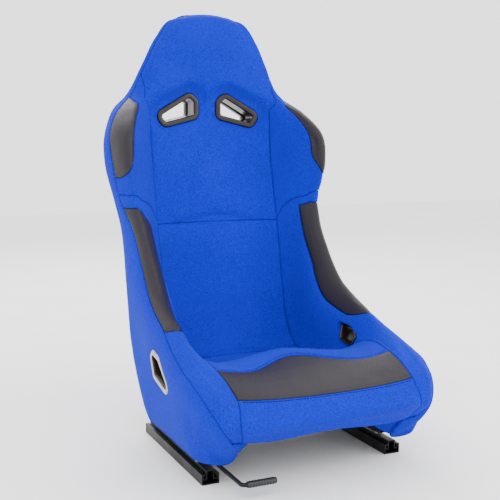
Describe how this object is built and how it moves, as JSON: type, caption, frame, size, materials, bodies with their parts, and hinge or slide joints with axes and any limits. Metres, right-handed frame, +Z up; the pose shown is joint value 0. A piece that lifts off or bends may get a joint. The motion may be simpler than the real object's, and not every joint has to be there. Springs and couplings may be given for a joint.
{
  "type": "racing seat",
  "caption": "One-piece racing seat with raised bolsters, shoulder wings and belt slots, in cloth with vinyl inserts, on two sliding floor rails with a front release lever",
  "frame": {"origin": "on the floor, at the centre of the rectangle of four floor bolts", "axes": "+Z up, the sitter faces -Y, +X is the sitter's left; the bolt pattern's axis and the longest extent both lie along +Z"},
  "size_m": [0.5288, 0.707, 0.9265],
  "materials": {
    "blue_cloth": "fine knit, matt",
    "grey_vinyl": "smooth grained, satin",
    "bezel_plastic": "satin",
    "moulded_shell": "glass fibre reinforced, matt",
    "grip_plastic": "ribbed, matt",
    "zinc_steel": "zinc plated",
    "cage_plastic": "matt",
    "black_steel": "satin powder coat"
  },
  "bodies": {
    "floor_rails": {"left_floor_rail": "black_steel", "right_floor_rail": "black_steel", "left_rail_stops": "zinc_steel", "right_rail_stops": "zinc_steel"},
    "seat": {"left_slider_rail": "black_steel", "right_slider_rail": "black_steel", "base_frame": "black_steel", "rail_spacers": "zinc_steel", "rail_bolts": "zinc_steel", "pan_bolts": "zinc_steel", "pan_shell": "moulded_shell", "back_shell": "moulded_shell", "left_hip_shell": "moulded_shell", "right_hip_shell": "moulded_shell", "left_wing_shell": "moulded_shell", "right_wing_shell": "moulded_shell", "rear_shell": "moulded_shell", "rear_cover": "blue_cloth", "cushion_pad": "blue_cloth", "cushion_insert": "grey_vinyl", "lower_back_pad": "blue_cloth", "upper_back_pad": "blue_cloth", "left_bolster_pad": "blue_cloth", "right_bolster_pad": "blue_cloth", "left_bolster_insert": "grey_vinyl", "right_bolster_insert": "grey_vinyl", "left_wing_pad": "blue_cloth", "right_wing_pad": "blue_cloth", "left_wing_insert": "grey_vinyl", "right_wing_insert": "grey_vinyl", "left_side_cover": "blue_cloth", "right_side_cover": "blue_cloth", "left_harness_bezel": "bezel_plastic", "right_harness_bezel": "bezel_plastic", "left_harness_rear_bezel": "bezel_plastic", "right_harness_rear_bezel": "bezel_plastic", "left_lap_outer_bezel": "bezel_plastic", "right_lap_outer_bezel": "bezel_plastic", "left_lap_inner_bezel": "bezel_plastic", "right_lap_inner_bezel": "bezel_plastic", "lever_bracket": "black_steel", "lever_rivets": "zinc_steel", "lever_spring": "zinc_steel"},
    "left_cage": {"left_ball_cage": "cage_plastic", "left_balls": "zinc_steel"},
    "right_cage": {"right_ball_cage": "cage_plastic", "right_balls": "zinc_steel"},
    "release_lever": {"lever_rod": "black_steel", "lever_grip": "grip_plastic", "latch_plate": "black_steel"}
  },
  "joints": [
    {"name": "seat_slide", "type": "slide", "parent": "floor_rails", "child": "seat", "axis": [0, 1, 0], "range_m": [-0.08, 0.08]},
    {"name": "left_cage_roll", "type": "slide", "parent": "floor_rails", "child": "left_cage", "axis": [0, 1, 0], "range_m": [-0.041, 0.041]},
    {"name": "right_cage_roll", "type": "slide", "parent": "floor_rails", "child": "right_cage", "axis": [0, 1, 0], "range_m": [-0.041, 0.041]},
    {"name": "lever_turn", "type": "hinge", "parent": "seat", "child": "release_lever", "pos_m": [-0.178, -0.1, 0.029], "axis": [0, -1, 0], "range_deg": [0, 28], "stiffness_Nm_per_rad": 0.6, "springref_deg": -14.32}
  ],
  "couplings": [
    {"joint": "left_cage_roll", "follows": "seat_slide", "ratio": 0.5},
    {"joint": "right_cage_roll", "follows": "seat_slide", "ratio": 0.5}
  ]
}
